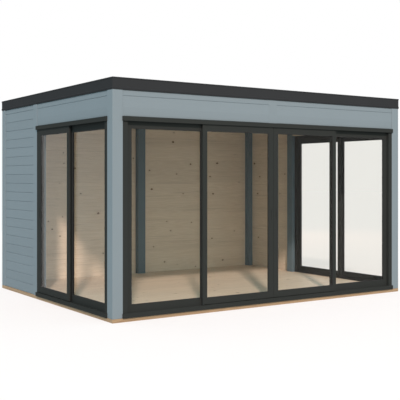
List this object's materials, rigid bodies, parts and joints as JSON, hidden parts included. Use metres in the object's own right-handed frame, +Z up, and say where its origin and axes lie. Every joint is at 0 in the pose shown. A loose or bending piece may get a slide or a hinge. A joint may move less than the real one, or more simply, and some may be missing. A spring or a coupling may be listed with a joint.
{
  "type": "garden pavilion",
  "caption": "Flat-roofed timber garden pavilion with a glazed sliding front and glazed sliding side doors.",
  "frame": {"origin": "middle of the base's underside", "axes": "+X along the front, to the right as seen from outside; +Y from the front to the back; +Z up"},
  "size_m": [4.216, 3.215, 2.507],
  "materials": {
    "painted_timber": "satin blue-grey paint over smooth boards outside, bare planed spruce inside",
    "base_timber": "sawn, pressure-treated",
    "floor_boards": "planed tongue-and-groove spruce",
    "roof_timber": "planed spruce",
    "door_frames": "satin anthracite powder coat",
    "fascia_boards": "satin anthracite coating",
    "clear_glass": "clear toughened glass",
    "membrane": "matt roofing sheet"
  },
  "bodies": {
    "building": {"base_beams": "base_timber", "base_ends": "base_timber", "floor_joists": "base_timber", "floor": "floor_boards", "front_posts": "painted_timber", "back_posts": "painted_timber", "side_mid_posts": "painted_timber", "back_mid_post": "painted_timber", "left_wall": "painted_timber", "right_wall": "painted_timber", "back_wall_left": "painted_timber", "back_wall_right": "painted_timber", "front_header": "painted_timber", "front_header_block": "painted_timber", "left_header": "painted_timber", "right_header": "painted_timber", "front_sill": "door_frames", "front_head": "door_frames", "front_jambs": "door_frames", "side_sills": "door_frames", "side_heads": "door_frames", "side_jambs": "door_frames", "front_fixed_leaves": "door_frames", "front_fixed_glass": "clear_glass", "side_fixed_leaves": "door_frames", "side_fixed_glass": "clear_glass", "roof_rims": "roof_timber", "roof_end_rims": "roof_timber", "roof_joists": "roof_timber", "roof_deck": "roof_timber", "roof_membrane": "membrane", "fascia_front": "fascia_boards", "fascia_back": "fascia_boards", "fascia_left": "fascia_boards", "fascia_right": "fascia_boards"},
    "front_left": {"front_left_leaf": "door_frames", "front_left_glass": "clear_glass"},
    "front_right": {"front_right_leaf": "door_frames", "front_right_glass": "clear_glass"},
    "left_side": {"left_leaf": "door_frames", "left_glass": "clear_glass"},
    "right_side": {"right_leaf": "door_frames", "right_glass": "clear_glass"}
  },
  "joints": [
    {"name": "front_left_slide", "type": "slide", "parent": "building", "child": "front_left", "axis": [-1, 0, 0], "range_m": [0, 0.914]},
    {"name": "front_right_slide", "type": "slide", "parent": "building", "child": "front_right", "axis": [1, 0, 0], "range_m": [0, 0.914]},
    {"name": "left_side_slide", "type": "slide", "parent": "building", "child": "left_side", "axis": [0, -1, 0], "range_m": [0, 0.858]},
    {"name": "right_side_slide", "type": "slide", "parent": "building", "child": "right_side", "axis": [0, 1, 0], "range_m": [0, 0.858]}
  ]
}
